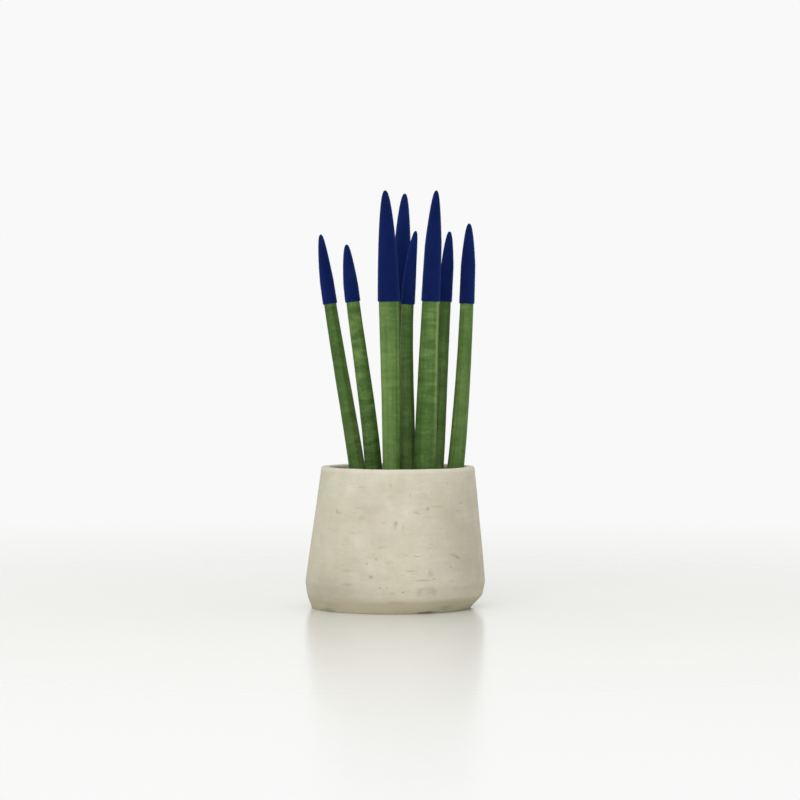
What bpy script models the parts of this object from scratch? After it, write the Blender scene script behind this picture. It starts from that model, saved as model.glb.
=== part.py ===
# A cylindrical snake plant: eight round upright leaves with velvet-coated tips, in the soil of a cement pot.
# Metres, +Z up, the origin on the ground under the middle of the pot's belly. The front is towards -Y.
import math
from typing import NamedTuple

import bmesh
import bpy
from mathutils import Vector

# The pot
POT_HEIGHT = 0.1177
RIM_RADIUS = 0.0638
BELLY_RADIUS = 0.0750
BELLY_HEIGHT = 0.0220
CHAMFER_RADIUS = 0.0733
CHAMFER_HEIGHT = 0.0110
BASE_RADIUS = 0.0660
WALL = 0.0072
FLOOR = 0.0095
FLOOR_RADIUS = 0.0590
RIM_ROUNDING = 0.0014
BELLY_ROUNDING = 0.0120
CHAMFER_ROUNDING = 0.0030
BASE_ROUNDING = 0.0012
POT_STEPS = 48

# The pot is cast by hand and a little out of true: its rim sits to the right of its belly, and its foot to
# the left
POT_SKEW = 0.0245
FOOT_SKEW = 0.2640

# The soil
SOIL_LEVEL = 0.1025
SOIL_RINGS = 6
BUMP_HEIGHT = 0.0011
BUMP_WAVES = 150.0

# Room between two pieces that touch, and the distance below which two corners are one
GAP = 0.0003
WELD = 0.00001

# What all leaves share: where their feet stand, their furrows and the blunt form of their tips
FOOT_HEIGHT = 0.0750
RIM_LEVEL = 0.1170
FURROWS = 5
FURROW_DEPTH = 0.05
FURROW_HALF_ANGLE = math.radians(9)
TIP_FULLNESS = 1.2
TIP_POWER = 0.5
TIP_END_RADIUS = 0.0004
TIP_RINGS = 7
SHAFT_RINGS = 5

# The hole for a leaf's foot: how far up the leaf its cutter reaches, as a part of the leaf's height
HOLE_REACH = 0.2
HOLE_RINGS = 4
HOLE_SIDES = 16

# The velvet coat over each tip
VELVET_THICKNESS = 0.00065
VELVET_GAP = 0.00025

# Creases sharper than this stay sharp
SHARP_ANGLE = math.radians(45)


class Leaf(NamedTuple):
    """One leaf: x and y of its foot and x, y and z of its tip, its lean in x at both ends, its width at the
    pot's rim and at the coat's edge, the length of its tapering tip, the coat edge's height and its turn."""
    foot: tuple
    tip: tuple
    foot_lean: float
    tip_lean: float
    rim_width: float
    coat_width: float
    taper: float
    coat_edge: float
    turn: float


# From left to right by their tips
LEAVES = [
    Leaf((-0.0259, 0.007), (-0.0623, 0.014, 0.3104), -0.130, -0.116, 0.0135, 0.0104, 0.040, 0.2533, 0.2),
    Leaf((-0.0165, -0.009), (-0.0402, -0.014, 0.3014), 0.000, -0.085, 0.0143, 0.0108, 0.034, 0.2549, 0.9),
    Leaf((-0.0027, -0.020), (-0.0082, -0.026, 0.3457), 0.000, -0.039, 0.0149, 0.0170, 0.094, 0.2551, 0.5),
    Leaf((0.0049, 0.016), (0.0080, 0.026, 0.3451), 0.015, 0.055, 0.0134, 0.0124, 0.045, 0.2551, 0.0),
    Leaf((0.0099, -0.003), (0.0170, -0.006, 0.3129), 0.042, 0.174, 0.0133, 0.0100, 0.045, 0.2529, 1.1),
    Leaf((0.0230, -0.017), (0.0340, -0.023, 0.3458), 0.036, 0.063, 0.0192, 0.0140, 0.046, 0.2552, 0.3),
    Leaf((0.0311, 0.005), (0.0455, 0.014, 0.3129), 0.080, 0.076, 0.0130, 0.0098, 0.030, 0.2550, 0.7),
    Leaf((0.0456, 0.001), (0.0617, 0.004, 0.3193), 0.130, 0.024, 0.0140, 0.0111, 0.035, 0.2533, 0.4),
]


def clear_scene():
    for thing in list(bpy.data.objects):
        bpy.data.objects.remove(thing, do_unlink=True)


def new_collection(name):
    collection = bpy.data.collections.new(name)
    bpy.context.scene.collection.children.link(collection)
    return collection


def new_material(name, colour, roughness):
    material = bpy.data.materials.new(name)
    material.use_nodes = True
    surface = material.node_tree.nodes["Principled BSDF"]
    surface.inputs["Base Color"].default_value = (*colour, 1.0)
    surface.inputs["Roughness"].default_value = roughness
    surface.inputs["Metallic"].default_value = 0.0
    material.diffuse_color = (*colour, 1.0)
    return material


def add_object(name, data, collection):
    thing = bpy.data.objects.new(name, data)
    collection.objects.link(thing)
    return thing


def shade_round(thing):
    thing.data.shade_smooth()
    thing.data.set_sharp_from_angle(angle=SHARP_ANGLE)


def solid_mesh(source, name):
    """The evaluated shape of an object as one closed mesh, with its caps and seams welded."""
    evaluated = source.evaluated_get(bpy.context.evaluated_depsgraph_get())
    mesh = bpy.data.meshes.new_from_object(evaluated)
    mesh.name = name
    shape = bmesh.new()
    shape.from_mesh(mesh)
    bmesh.ops.remove_doubles(shape, verts=shape.verts, dist=WELD)
    bmesh.ops.recalc_face_normals(shape, faces=shape.faces)
    shape.to_mesh(mesh)
    shape.free()
    return mesh


def rounded(before, corner, after, radius, steps):
    """Points of the arc that rounds a profile's corner between two straight runs."""
    corner = Vector(corner)
    to_before = (Vector(before) - corner).normalized()
    to_after = (Vector(after) - corner).normalized()
    half = to_before.angle(to_after) / 2
    centre = corner + (to_before + to_after).normalized() * radius / math.sin(half)
    start = corner + to_before * radius / math.tan(half) - centre
    end = corner + to_after * radius / math.tan(half) - centre
    sweep = start.angle(end)
    points = []
    for step in range(steps + 1):
        part = step / steps
        blend = start * math.sin((1 - part) * sweep) + end * math.sin(part * sweep)
        points.append(tuple(centre + blend / math.sin(sweep)))
    return points


def turned_mesh(name, profile):
    """A body turned round Z from (radius, height) points that start and end on the axis, then skewed."""
    mesh = bpy.data.meshes.new(name)
    points = [(radius, 0.0, height) for radius, height in profile]
    edges = [(index, index + 1) for index in range(len(points) - 1)]
    mesh.from_pydata(points, edges, [])
    guide = bpy.data.objects.new(name, mesh)
    bpy.context.scene.collection.objects.link(guide)
    screw = guide.modifiers.new("Turn", "SCREW")
    screw.steps = POT_STEPS
    screw.render_steps = POT_STEPS
    screw.use_merge_vertices = True
    screw.merge_threshold = WELD
    bpy.context.view_layer.update()
    result = solid_mesh(guide, name)
    bpy.data.objects.remove(guide, do_unlink=True)
    for vertex in result.vertices:
        vertex.co.x += pot_shift(vertex.co.z)
    return result


def pot_shift(height):
    """How far to the right the pot's wall has moved at a height."""
    foot_shift = FOOT_SKEW * min(0.0, height - CHAMFER_HEIGHT)
    return POT_SKEW * (height - BELLY_HEIGHT) + foot_shift


def inner_radius(height):
    """The radius of the pot's straight inner wall."""
    lean = (BELLY_RADIUS - RIM_RADIUS) / (POT_HEIGHT - BELLY_HEIGHT)
    return RIM_RADIUS - WALL + (POT_HEIGHT - height) * lean


def make_pot(collection, material):
    inside_foot = (inner_radius(CHAMFER_HEIGHT + WALL), CHAMFER_HEIGHT + WALL)
    inside_rim = (inner_radius(POT_HEIGHT), POT_HEIGHT)
    outside_rim = (RIM_RADIUS, POT_HEIGHT)
    belly = (BELLY_RADIUS, BELLY_HEIGHT)
    chamfer = (CHAMFER_RADIUS, CHAMFER_HEIGHT)
    base = (BASE_RADIUS, 0.0)
    profile = [(0.0, FLOOR), (FLOOR_RADIUS, FLOOR), inside_foot]
    profile += rounded(inside_foot, inside_rim, outside_rim, RIM_ROUNDING, 3)
    profile += rounded(inside_rim, outside_rim, belly, RIM_ROUNDING, 3)
    profile += rounded(outside_rim, belly, chamfer, BELLY_ROUNDING, 2)
    profile += rounded(belly, chamfer, base, CHAMFER_ROUNDING, 3)
    profile += rounded(chamfer, base, (0.0, 0.0), BASE_ROUNDING, 2)
    profile.append((0.0, 0.0))
    pot = add_object("pot", turned_mesh("pot", profile), collection)
    pot.data.materials.append(material)
    shade_round(pot)
    return pot


def leaf_centre(leaf, part):
    """The middle of a leaf, from part 0 at its foot to part 1 at its tip: a curve in x and a line in y."""
    rise = leaf.tip[2] - FOOT_HEIGHT
    foot_share = 2 * part ** 3 - 3 * part ** 2 + 1
    foot_bend = (part ** 3 - 2 * part ** 2 + part) * rise * leaf.foot_lean
    tip_bend = (part ** 3 - part ** 2) * rise * leaf.tip_lean
    x = foot_share * leaf.foot[0] + (1 - foot_share) * leaf.tip[0] + foot_bend + tip_bend
    y = leaf.foot[1] + part * (leaf.tip[1] - leaf.foot[1])
    return Vector((x, y, FOOT_HEIGHT + part * rise))


def leaf_direction(leaf, part):
    step = 0.01
    return (leaf_centre(leaf, part + step) - leaf_centre(leaf, part - step)).normalized()


def leaf_radius(leaf, part):
    """A leaf's radius: it thins evenly with height and its tip closes bluntly."""
    height = FOOT_HEIGHT + part * (leaf.tip[2] - FOOT_HEIGHT)
    thinning = (leaf.coat_width - leaf.rim_width) / (leaf.coat_edge - RIM_LEVEL)
    plain = (leaf.rim_width + (height - RIM_LEVEL) * thinning) / 2
    to_tip = min(1.0, (leaf.tip[2] - height) / leaf.taper)
    closing = (1 - (1 - to_tip) ** TIP_FULLNESS) ** TIP_POWER
    return max(TIP_END_RADIUS, plain * closing)


def leaf_parts(leaf):
    """Where a leaf's rings lie: evenly up its shaft, then closer and closer towards its tip."""
    rise = leaf.tip[2] - FOOT_HEIGHT
    shaft = 1 - leaf.taper / rise
    parts = [shaft * ring / SHAFT_RINGS for ring in range(SHAFT_RINGS)]
    for ring in range(TIP_RINGS + 1):
        parts.append(1 - (1 - shaft) * (1 - ring / TIP_RINGS) ** 2)
    return parts


def furrowed_outline(collection):
    """The section of a leaf with a radius of 1: a circle with a few narrow furrows."""
    points = []
    for furrow in range(FURROWS):
        middle = 2 * math.pi * furrow / FURROWS
        points.append((1.0, middle - FURROW_HALF_ANGLE))
        points.append((1.0 - FURROW_DEPTH, middle))
        points.append((1.0, middle + FURROW_HALF_ANGLE))
        points.append((1.0, middle + math.pi / FURROWS))
    return closed_outline("leaf section", points, collection)


def round_outline(collection):
    """A section that stays outside a circle with a radius of 1."""
    reach = 1 / math.cos(math.pi / HOLE_SIDES)
    points = [(reach, 2 * math.pi * side / HOLE_SIDES) for side in range(HOLE_SIDES)]
    return closed_outline("hole section", points, collection)


def closed_outline(name, polar_points, collection):
    curve = bpy.data.curves.new(name, "CURVE")
    curve.dimensions = "2D"
    spline = curve.splines.new("POLY")
    spline.points.add(len(polar_points) - 1)
    for point, (radius, angle) in zip(spline.points, polar_points):
        point.co = (radius * math.cos(angle), radius * math.sin(angle), 0.0, 1.0)
    spline.use_cyclic_u = True
    outline = add_object(name, curve, collection)
    outline.hide_render = True
    outline.display_type = "WIRE"
    return outline


def tube_mesh(name, centres, radii, outline, turn=0.0):
    """A closed tube along a line of points, with its own radius at each and an outline as its section."""
    curve = bpy.data.curves.new(name, "CURVE")
    curve.dimensions = "3D"
    curve.bevel_mode = "OBJECT"
    curve.bevel_object = outline
    curve.use_fill_caps = True
    curve.render_resolution_u = 0
    spline = curve.splines.new("POLY")
    spline.points.add(len(centres) - 1)
    for point, centre, radius in zip(spline.points, centres, radii):
        point.co = (*centre, 1.0)
        point.radius = radius
        point.tilt = turn
    guide = bpy.data.objects.new(name, curve)
    bpy.context.scene.collection.objects.link(guide)
    bpy.context.view_layer.update()
    result = solid_mesh(guide, name)
    bpy.data.objects.remove(guide, do_unlink=True)
    return result


def leaf_mesh(leaf, name, outline):
    parts = leaf_parts(leaf)
    centres = [leaf_centre(leaf, part) for part in parts]
    radii = [leaf_radius(leaf, part) for part in parts]
    return tube_mesh(name, centres, radii, outline, leaf.turn)


def make_leaf(leaf, number, outline, collection, material):
    name = f"leaf_{number}"
    thing = add_object(name, leaf_mesh(leaf, name, outline), collection)
    thing.data.materials.append(material)
    shade_round(thing)
    return thing


def make_velvet(leaf, number, outline, collection, material):
    """The coat over a tip: the leaf's own skin above the coat's edge, moved out a little and thickened."""
    name = f"velvet_{number}"
    mesh = leaf_mesh(leaf, name, outline)
    edge = (leaf.coat_edge - FOOT_HEIGHT) / (leaf.tip[2] - FOOT_HEIGHT)
    skin = bmesh.new()
    skin.from_mesh(mesh)
    everything = skin.verts[:] + skin.edges[:] + skin.faces[:]
    centre = leaf_centre(leaf, edge)
    upward = leaf_direction(leaf, edge)
    bmesh.ops.bisect_plane(skin, geom=everything, plane_co=centre, plane_no=upward, clear_inner=True)
    skin.normal_update()
    for vertex in skin.verts:
        vertex.co += vertex.normal * VELVET_GAP
    skin.to_mesh(mesh)
    skin.free()
    coat = add_object(name, mesh, collection)
    thicken = coat.modifiers.new("Thickness", "SOLIDIFY")
    thicken.thickness = VELVET_THICKNESS
    thicken.offset = 1.0
    coat.data.materials.append(material)
    shade_round(coat)
    return coat


def soil_surface(x, y):
    """How far the loose surface of the soil lies above its mean level."""
    long_wave = math.sin(BUMP_WAVES * x + 0.6) * math.cos(0.8 * BUMP_WAVES * y)
    short_wave = math.sin(1.7 * BUMP_WAVES * (x + y)) * math.cos(1.4 * BUMP_WAVES * (x - y) + 1.1)
    return BUMP_HEIGHT * (long_wave + 0.5 * short_wave)


def hole_cutter(leaf, number, outline, collection):
    """The plain hole that a leaf's foot stands in."""
    name = f"hole {number}"
    parts = [HOLE_REACH * ring / HOLE_RINGS for ring in range(HOLE_RINGS + 1)]
    centres = [leaf_centre(leaf, part) for part in parts]
    centres[0] -= leaf_direction(leaf, 0.0) * GAP
    radii = [leaf_radius(leaf, part) + GAP for part in parts]
    cutter = add_object(name, tube_mesh(name, centres, radii, outline), collection)
    cutter.hide_render = True
    cutter.display_type = "WIRE"
    return cutter


def make_soil(collection, cutters, hole_outline, material):
    edge = inner_radius(SOIL_LEVEL) - GAP
    inside_foot = CHAMFER_HEIGHT + WALL
    profile = [(edge * ring / SOIL_RINGS, SOIL_LEVEL) for ring in range(SOIL_RINGS + 1)]
    profile.append((inner_radius(inside_foot) - GAP, inside_foot + GAP))
    profile.append((FLOOR_RADIUS - GAP, FLOOR + GAP))
    profile.append((0.0, FLOOR + GAP))
    mesh = turned_mesh("soil", profile)
    for vertex in mesh.vertices:
        if vertex.co.z > SOIL_LEVEL - GAP:
            from_middle = math.hypot(vertex.co.x - pot_shift(SOIL_LEVEL), vertex.co.y)
            to_edge = 1 - (from_middle / edge) ** 6
            vertex.co.z += to_edge * soil_surface(vertex.co.x, vertex.co.y)
    soil = add_object("soil", mesh, collection)
    soil.data.materials.append(material)
    for number, leaf in enumerate(LEAVES, start=1):
        cut = soil.modifiers.new(f"Hole {number}", "BOOLEAN")
        cut.operation = "DIFFERENCE"
        cut.solver = "EXACT"
        cut.object = hole_cutter(leaf, number, hole_outline, cutters)
    shade_round(soil)
    return soil


def main():
    clear_scene()
    plant = new_collection("cylindrical snake plant")
    guides = new_collection("guides and cutters")
    cement = new_material("cement", (0.60, 0.57, 0.46), 0.9)
    earth = new_material("potting soil", (0.035, 0.022, 0.014), 1.0)
    skin = new_material("leaf skin", (0.095, 0.19, 0.045), 0.5)
    velvet = new_material("navy velvet", (0.008, 0.015, 0.085), 1.0)
    leaf_outline = furrowed_outline(guides)
    hole_outline = round_outline(guides)
    make_pot(plant, cement)
    make_soil(plant, guides, hole_outline, earth)
    for number, leaf in enumerate(LEAVES, start=1):
        make_leaf(leaf, number, leaf_outline, plant, skin)
        make_velvet(leaf, number, leaf_outline, plant, velvet)


main()
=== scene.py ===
import math
from typing import NamedTuple

import bpy
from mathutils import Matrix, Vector, noise


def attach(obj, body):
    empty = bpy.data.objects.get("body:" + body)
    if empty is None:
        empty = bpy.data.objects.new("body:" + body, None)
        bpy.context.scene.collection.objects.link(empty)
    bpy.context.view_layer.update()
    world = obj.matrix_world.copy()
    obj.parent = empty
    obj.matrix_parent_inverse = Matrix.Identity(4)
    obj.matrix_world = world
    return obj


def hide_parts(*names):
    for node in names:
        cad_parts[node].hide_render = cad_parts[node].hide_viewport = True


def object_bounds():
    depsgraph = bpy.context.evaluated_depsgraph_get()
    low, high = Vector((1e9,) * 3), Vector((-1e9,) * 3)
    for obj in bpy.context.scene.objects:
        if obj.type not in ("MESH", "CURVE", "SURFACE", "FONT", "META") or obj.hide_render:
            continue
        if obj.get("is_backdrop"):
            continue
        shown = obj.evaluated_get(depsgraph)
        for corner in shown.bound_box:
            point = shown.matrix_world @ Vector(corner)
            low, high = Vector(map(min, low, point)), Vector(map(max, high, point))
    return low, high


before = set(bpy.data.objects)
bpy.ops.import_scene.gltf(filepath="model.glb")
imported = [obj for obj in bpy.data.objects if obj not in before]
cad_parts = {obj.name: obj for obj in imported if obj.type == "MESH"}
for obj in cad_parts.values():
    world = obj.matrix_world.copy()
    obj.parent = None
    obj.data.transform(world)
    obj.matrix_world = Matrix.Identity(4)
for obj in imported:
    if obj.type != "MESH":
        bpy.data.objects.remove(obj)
cad_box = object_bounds()


# The pot: one thick-walled body of pale cement, cast by hand a little out of true. It narrows evenly from
# a rounded belly low down to its rim, and is chamfered above its base. The trowel that smoothed it went
# round the wall and left faint level ridges, pits and flecks.
POT_HEIGHT = 0.1177
RIM_RADIUS = 0.0638
BELLY_RADIUS = 0.0750
BELLY_HEIGHT = 0.0220
CHAMFER_RADIUS = 0.0733
CHAMFER_HEIGHT = 0.0110
BASE_RADIUS = 0.0660
WALL = 0.0072
FLOOR = 0.0095
FLOOR_RADIUS = 0.0590
# How much further to the right the wall is for each metre up, above the chamfer and below it
POT_SKEW = 0.0245
FOOT_SKEW = 0.2640
# How the corners are rounded, from the base up over the rim: radius and number of steps
CORNER_ROUNDINGS = [(0.0012, 5), (0.0120, 6), (0.0120, 8), (0.0014, 5), (0.0014, 5)]
POT_SIDES = 320
POT_ROW = 0.0014
# The waves of a hand-cast form: how high they are, how fast they change round the pot and with each metre
# up, and where they start
WALL_WAVES = (0.00035, 1.6, 22.0, 3.0)
TROWEL_WAVES = (0.00006, 5.0, 420.0, 0.0)
RIM_WAVES = (0.00025, 3.0, 0.0, 9.0)
RIM_WAVES_POWER = 4


class Wire:
    """What comes out of a node. Arithmetic on it adds Math nodes to its tree."""

    def __init__(self, tree, socket):
        self.tree = tree
        self.socket = socket

    def out(self, name):
        """Another output of the same node."""
        return Wire(self.tree, self.socket.node.outputs[name])

    def math(self, operation, *others):
        """Any other Math node, with this as its first value."""
        return self.tree.math(operation, self, *others)

    def __add__(self, other):
        return self.tree.math("ADD", self, other)

    def __radd__(self, other):
        return self.tree.math("ADD", other, self)

    def __sub__(self, other):
        return self.tree.math("SUBTRACT", self, other)

    def __rsub__(self, other):
        return self.tree.math("SUBTRACT", other, self)

    def __mul__(self, other):
        return self.tree.math("MULTIPLY", self, other)

    def __rmul__(self, other):
        return self.tree.math("MULTIPLY", other, self)

    def __truediv__(self, other):
        return self.tree.math("DIVIDE", self, other)

    def __pow__(self, other):
        return self.tree.math("POWER", self, other)

    def __gt__(self, other):
        return self.tree.math("GREATER_THAN", self, other)


class Tree:
    """A node tree that is being drawn, of a material or of Geometry Nodes."""

    def __init__(self, nodes):
        self.nodes = nodes

    def node(self, kind, settings=None, values=None, output=0):
        """Adds a node, with its settings and with a value or a wire for each socket that gets one."""
        made = self.nodes.nodes.new(kind)
        for name, value in (settings or {}).items():
            setattr(made, name, value)
        for name, value in (values or {}).items():
            if isinstance(value, Wire):
                self.nodes.links.new(value.socket, made.inputs[name])
            else:
                made.inputs[name].default_value = value
        return Wire(self, made.outputs[output]) if made.outputs else None

    def math(self, operation, *terms):
        return self.node("ShaderNodeMath", {"operation": operation}, dict(enumerate(terms)))

    def noise(self, place, scale, detail=2.0, roughness=0.5, distortion=0.0):
        sizes = {"Scale": scale, "Detail": detail, "Roughness": roughness, "Distortion": distortion}
        return self.node("ShaderNodeTexNoise", {}, {"Vector": place, **sizes})

    def cells(self, place, scale):
        return self.node("ShaderNodeTexVoronoi", {}, {"Vector": place, "Scale": scale})

    def colour_parts(self, colour):
        return self.node("ShaderNodeSeparateColor", {}, {0: colour})

    def kept(self, name, output="Fac"):
        """For a material: what remember() has kept on the points of a mesh under this name."""
        return self.node("ShaderNodeAttribute", {"attribute_name": name}, output=output)

    def vector(self, operation, *terms, output=0):
        return self.node("ShaderNodeVectorMath", {"operation": operation}, dict(enumerate(terms)), output)

    def part_of(self, place, axis):
        return self.node("ShaderNodeSeparateXYZ", {}, {0: place}, axis)

    def point(self, x, y, z):
        return self.node("ShaderNodeCombineXYZ", {}, {0: x, 1: y, 2: z})

    def scaled(self, place, amount):
        return self.node("ShaderNodeVectorMath", {"operation": "SCALE"}, {0: place, "Scale": amount})

    def stretched(self, place, x, y, z):
        return self.vector("MULTIPLY", place, (x, y, z))

    def between(self, value, low, high):
        """0 below low and 1 above high, with a soft step between them; low may be the larger one."""
        limits = {"From Min": low, "From Max": high}
        step = {"interpolation_type": "SMOOTHSTEP"}
        return self.node("ShaderNodeMapRange", step, {"Value": value, **limits})

    def mix(self, share, first, second):
        """A blend of two colours, the first at 0 and the second at 1; below 0 it goes past the first."""
        kind = {"data_type": "RGBA", "clamp_factor": False}
        return self.node("ShaderNodeMix", kind, {0: share, 6: first, 7: second}, 2)

    def bump(self, height, distance, strength):
        sizes = {"Height": height, "Distance": distance, "Strength": strength}
        return self.node("ShaderNodeBump", {}, sizes)

    def surface(self, values):
        """Sets or links the sockets of the material's own shader."""
        shader = self.nodes.nodes["Principled BSDF"]
        for name, value in values.items():
            if isinstance(value, Wire):
                self.nodes.links.new(value.socket, shader.inputs[name])
            else:
                shader.inputs[name].default_value = value


def new_finish(name):
    """A material and the tree that draws it."""
    material = bpy.data.materials.new(name)
    material.use_nodes = True
    return material, Tree(material.node_tree)


def tint(red, green, blue):
    """A colour as a screen shows it, from 0 to 255, turned into the light that a surface sends back."""
    parts = [value / 255 for value in (red, green, blue)]
    light = [part / 12.92 if part <= 0.04045 else ((part + 0.055) / 1.055) ** 2.4 for part in parts]
    return (*light, 1.0)


def placed(name, data):
    """A new object in the scene."""
    thing = bpy.data.objects.new(name, data)
    bpy.context.scene.collection.objects.link(thing)
    return thing


def rounded(before, corner, after, radius, steps):
    """Points of the arc that rounds a profile's corner between two straight runs."""
    corner = Vector(corner)
    to_before = (Vector(before) - corner).normalized()
    to_after = (Vector(after) - corner).normalized()
    half = to_before.angle(to_after) / 2
    centre = corner + (to_before + to_after).normalized() * radius / math.sin(half)
    start = corner + to_before * radius / math.tan(half) - centre
    end = corner + to_after * radius / math.tan(half) - centre
    sweep = start.angle(end)
    points = []
    for step in range(steps + 1):
        part = step / steps
        blend = start * math.sin((1 - part) * sweep) + end * math.sin(part * sweep)
        points.append(tuple(centre + blend / math.sin(sweep)))
    return points


def finely(profile, spacing):
    """The same profile with points added, so that no two are further apart than the spacing."""
    points = [Vector(profile[0])]
    for before, after in zip(profile, profile[1:]):
        pieces = max(1, math.ceil((Vector(after) - Vector(before)).length / spacing))
        for piece in range(1, pieces + 1):
            points.append(Vector(before).lerp(Vector(after), piece / pieces))
    return points


def turned(name, profile, sides, settle):
    """A closed body turned round Z, from a profile that starts on the axis below and ends on it above.
    settle gives the place of a point from its radius, angle and height."""
    rings = profile[1:-1]
    places = [settle(0.0, 0.0, profile[0][1])]
    for radius, height in rings:
        places += [settle(radius, 2 * math.pi * side / sides, height) for side in range(sides)]
    places.append(settle(0.0, 0.0, profile[-1][1]))
    top = len(places) - 1
    faces = []
    for side in range(sides):
        beside = (side + 1) % sides
        faces.append((0, 1 + beside, 1 + side))
        faces.append((top, top - sides + side, top - sides + beside))
        for ring in range(len(rings) - 1):
            low = 1 + ring * sides
            high = low + sides
            faces.append((low + side, low + beside, high + beside, high + side))
    mesh = bpy.data.meshes.new(name)
    mesh.from_pydata(places, [], faces)
    mesh.shade_smooth()
    return mesh


def pot_shift(height):
    """How far to the right the pot's wall has moved at a height."""
    foot_shift = FOOT_SKEW * min(0.0, height - CHAMFER_HEIGHT)
    return POT_SKEW * (height - BELLY_HEIGHT) + foot_shift


def inner_radius(height):
    lean = (BELLY_RADIUS - RIM_RADIUS) / (POT_HEIGHT - BELLY_HEIGHT)
    return RIM_RADIUS - WALL + (POT_HEIGHT - height) * lean


def wave(waves, angle, height):
    """How far a kind of waves has moved a point of the pot's even form."""
    most, around, upwards, start = waves
    spot = Vector((around * math.cos(angle), around * math.sin(angle), upwards * height + start))
    return most * noise.noise(spot)


def cast_wall(radius, angle, height):
    """Where a point of the pot's even form lies on the cast pot."""
    share = min(1.0, height / CHAMFER_HEIGHT) * min(1.0, radius / FLOOR_RADIUS)
    out = radius + share * (wave(WALL_WAVES, angle, height) + wave(TROWEL_WAVES, angle, height))
    near_rim = max(0.0, (height - BELLY_HEIGHT) / (POT_HEIGHT - BELLY_HEIGHT)) ** RIM_WAVES_POWER
    up = wave(RIM_WAVES, angle, height) * near_rim
    return (out * math.cos(angle) + pot_shift(height), out * math.sin(angle), height + up)


def pot_profile():
    """The pot's outline: from the middle of its base up its outside, then down inside to its floor."""
    corners = [
        (0.0, 0.0), (BASE_RADIUS, 0.0), (CHAMFER_RADIUS, CHAMFER_HEIGHT), (BELLY_RADIUS, BELLY_HEIGHT),
        (RIM_RADIUS, POT_HEIGHT), (inner_radius(POT_HEIGHT), POT_HEIGHT),
        (inner_radius(CHAMFER_HEIGHT + WALL), CHAMFER_HEIGHT + WALL),
    ]
    profile = [corners[0]]
    for number, (radius, steps) in enumerate(CORNER_ROUNDINGS):
        profile += rounded(*corners[number:number + 3], radius, steps)
    profile += [corners[-1], (FLOOR_RADIUS, FLOOR), (0.0, FLOOR)]
    return profile


# Marks on the wall: the angle from straight ahead in degrees (right is positive), the height, the half
# width and half height of the mark, and how dark it is (below 0 it is pale)
POT_MARKS = [
    (-15.6, 0.0308, 0.0016, 0.0012, 0.90),
    (-46.4, 0.0832, 0.0013, 0.0017, 0.60),
    (-44.0, 0.0818, 0.0026, 0.0012, 0.35),
    (-0.4, 0.0746, 0.0014, 0.0015, 0.60),
    (-0.9, 0.0722, 0.0011, 0.0024, 0.40),
    (4.2, 0.0716, 0.0011, 0.0024, 0.40),
    (22.0, 0.0858, 0.0016, 0.0013, 0.70),
    (13.0, 0.0829, 0.0018, 0.0009, 0.50),
    (15.0, 0.0817, 0.0014, 0.0008, 0.50),
    (9.0, 0.0964, 0.0008, 0.0028, 0.35),
    (29.0, 0.0874, 0.0058, 0.0006, 0.35),
    (51.4, 0.0894, 0.0024, 0.0011, 0.40),
    (47.0, 0.0832, 0.0018, 0.0010, 0.30),
    (-5.0, 0.1046, 0.0014, 0.0014, 0.40),
    (-25.8, 0.1032, 0.0058, 0.0007, 0.30),
    (-27.6, 0.0864, 0.0042, 0.0007, 0.35),
    (-24.0, 0.0782, 0.0032, 0.0020, 0.30),
    (-8.8, 0.0746, 0.0020, 0.0009, 0.40),
    (-31.6, 0.0656, 0.0050, 0.0007, 0.35),
    (-9.2, 0.0548, 0.0036, 0.0012, 0.35),
    (-12.8, 0.0450, 0.0011, 0.0014, 0.60),
    (-18.8, 0.0412, 0.0012, 0.0014, 0.60),
    (-3.8, 0.0426, 0.0036, 0.0018, 0.30),
    (-31.2, 0.0352, 0.0050, 0.0010, 0.40),
    (-31.2, 0.0240, 0.0054, 0.0013, 0.55),
    (-1.4, 0.0176, 0.0030, 0.0012, 0.35),
    (40.0, 0.0477, 0.0030, 0.0014, 0.42),
    (42.2, 0.0467, 0.0022, 0.0011, 0.45),
    (43.8, 0.0458, 0.0018, 0.0008, 0.50),
    (45.2, 0.0448, 0.0018, 0.0007, 0.50),
    (14.0, 0.0474, 0.0030, 0.0007, 0.45),
    (9.8, 0.0356, 0.0052, 0.0006, 0.55),
    (17.4, 0.0280, 0.0064, 0.0007, 0.65),
    (22.6, 0.0330, 0.0024, 0.0024, 0.35),
    (25.0, 0.0288, 0.0014, 0.0010, 0.50),
    (38.4, 0.0378, 0.0014, 0.0012, 0.40),
    (38.6, 0.0264, 0.0030, 0.0008, 0.40),
    (15.4, 0.0180, 0.0026, 0.0036, 0.35),
    (17.8, 0.0206, 0.0040, 0.0018, 0.25),
    (23.4, 0.0200, 0.0038, 0.0028, 0.38),
    (25.6, 0.0176, 0.0022, 0.0028, 0.22),
    (25.2, 0.0004, 0.0088, 0.0015, 1.70),
    (14.4, 0.0490, 0.0022, 0.0007, -0.50),
    (14.8, 0.0458, 0.0030, 0.0006, -0.50),
    (22.6, 0.0986, 0.0009, 0.0024, -0.45),
    (18.0, 0.1056, 0.0026, 0.0007, -0.35),
    (-47.0, 0.0062, 0.0085, 0.0028, 0.22),
    # Painted shadow along the foot where it meets the floor
    (-52.0, 0.0014, 0.0090, 0.0016, 0.80),
    (2.4, 0.0096, 0.0058, 0.0014, 0.35),
    (38.8, 0.0046, 0.0050, 0.0018, 0.45),
    (76.0, 0.0174, 0.0016, 0.0014, 0.60),
    (150.0, 0.0600, 0.0020, 0.0015, 0.70),
    (-120.0, 0.0400, 0.0016, 0.0014, 0.70),
    (-160.0, 0.0850, 0.0050, 0.0008, 0.60),
    (110.0, 0.0720, 0.0016, 0.0014, 0.60),
]
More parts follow.
